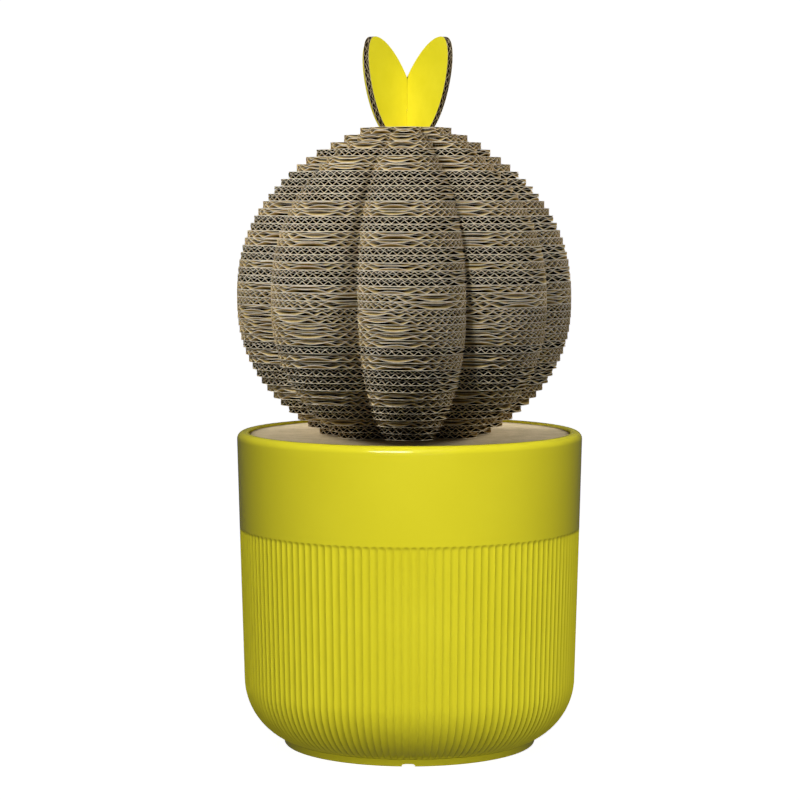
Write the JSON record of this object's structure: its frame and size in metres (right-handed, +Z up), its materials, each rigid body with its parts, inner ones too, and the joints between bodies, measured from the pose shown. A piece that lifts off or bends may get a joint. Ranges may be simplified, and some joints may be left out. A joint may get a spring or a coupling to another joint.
{
  "type": "cactus-shaped corrugated cardboard cat scratcher",
  "caption": "Cactus-shaped ornament and scratcher: a lobed ball of stacked corrugated-board discs with yellow board petals, standing on the lid of a round fluted plastic pot.",
  "frame": {"origin": "centre of the pot's foot ring, on the surface the object stands on", "axes": "+Z up, front towards -Y, +X to the right"},
  "size_m": [0.3216, 0.3216, 0.6556],
  "materials": {
    "pot_plastic": "moulded, satin gloss",
    "lid_fibreboard": "matt fibreboard",
    "corrugated_board": "brown kraft paper, die-cut edges",
    "petal_board": "yellow-faced corrugated board, brown cut edges",
    "tube_paper": "wound kraft paper tube",
    "clamp_steel": "zinc-plated"
  },
  "bodies": {
    "root": {"pot_floor": "pot_plastic", "pot_foot": "pot_plastic", "pot_corner": "pot_plastic", "pot_wall": "pot_plastic", "pot_rim": "pot_plastic", "pot_lid": "lid_fibreboard", "board_01": "corrugated_board", "board_02": "corrugated_board", "board_03": "corrugated_board", "board_04": "corrugated_board", "board_05": "corrugated_board", "board_06": "corrugated_board", "board_07": "corrugated_board", "board_08": "corrugated_board", "board_09": "corrugated_board", "board_10": "corrugated_board", "board_11": "corrugated_board", "board_12": "corrugated_board", "board_13": "corrugated_board", "board_14": "corrugated_board", "board_15": "corrugated_board", "board_16": "corrugated_board", "board_17": "corrugated_board", "board_18": "corrugated_board", "board_19": "corrugated_board", "board_20": "corrugated_board", "board_21": "corrugated_board", "board_22": "corrugated_board", "board_23": "corrugated_board", "board_24": "corrugated_board", "board_25": "corrugated_board", "board_26": "corrugated_board", "board_27": "corrugated_board", "board_28": "corrugated_board", "board_29": "corrugated_board", "board_30": "corrugated_board", "board_31": "corrugated_board", "board_32": "corrugated_board", "board_33": "corrugated_board", "board_34": "corrugated_board", "board_35": "corrugated_board", "board_36": "corrugated_board", "board_37": "corrugated_board", "board_38": "corrugated_board", "board_39": "corrugated_board", "board_40": "corrugated_board", "board_41": "corrugated_board", "board_42": "corrugated_board", "petal_board_upper": "petal_board", "petal_board_lower": "petal_board", "core_tube": "tube_paper", "clamp_rod": "clamp_steel", "upper_washer": "clamp_steel", "upper_nut": "clamp_steel", "lower_washer": "clamp_steel", "lower_nut": "clamp_steel"}
  },
  "joints": []
}
